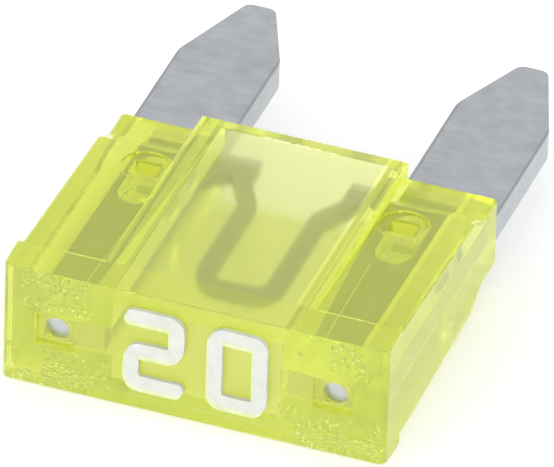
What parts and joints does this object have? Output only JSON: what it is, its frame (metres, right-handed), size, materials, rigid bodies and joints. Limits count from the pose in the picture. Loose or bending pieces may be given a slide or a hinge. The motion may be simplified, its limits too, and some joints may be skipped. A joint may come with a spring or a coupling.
{
  "type": "automotive blade fuse",
  "caption": "Miniature automotive blade fuse lying flat: translucent yellow plastic housing, flat zinc blades and a bent fuse link seen through a window.",
  "frame": {"origin": "middle of the footprint, on the surface that the fuse lies on", "axes": "+Y along the blades towards their tips, +Z through the thickness, +X across the two blades"},
  "size_m": [0.011, 0.0162, 0.0037],
  "materials": {
    "yellow_plastic": "clear translucent yellow moulding, smooth and glossy",
    "zinc_strip": "satin grey zinc strip with a faint grain across the blades",
    "white_foil": "matt white hot-stamped foil"
  },
  "bodies": {
    "root": {"housing": "yellow_plastic", "fuse_element": "zinc_strip", "rating_foil": "white_foil"}
  },
  "joints": []
}
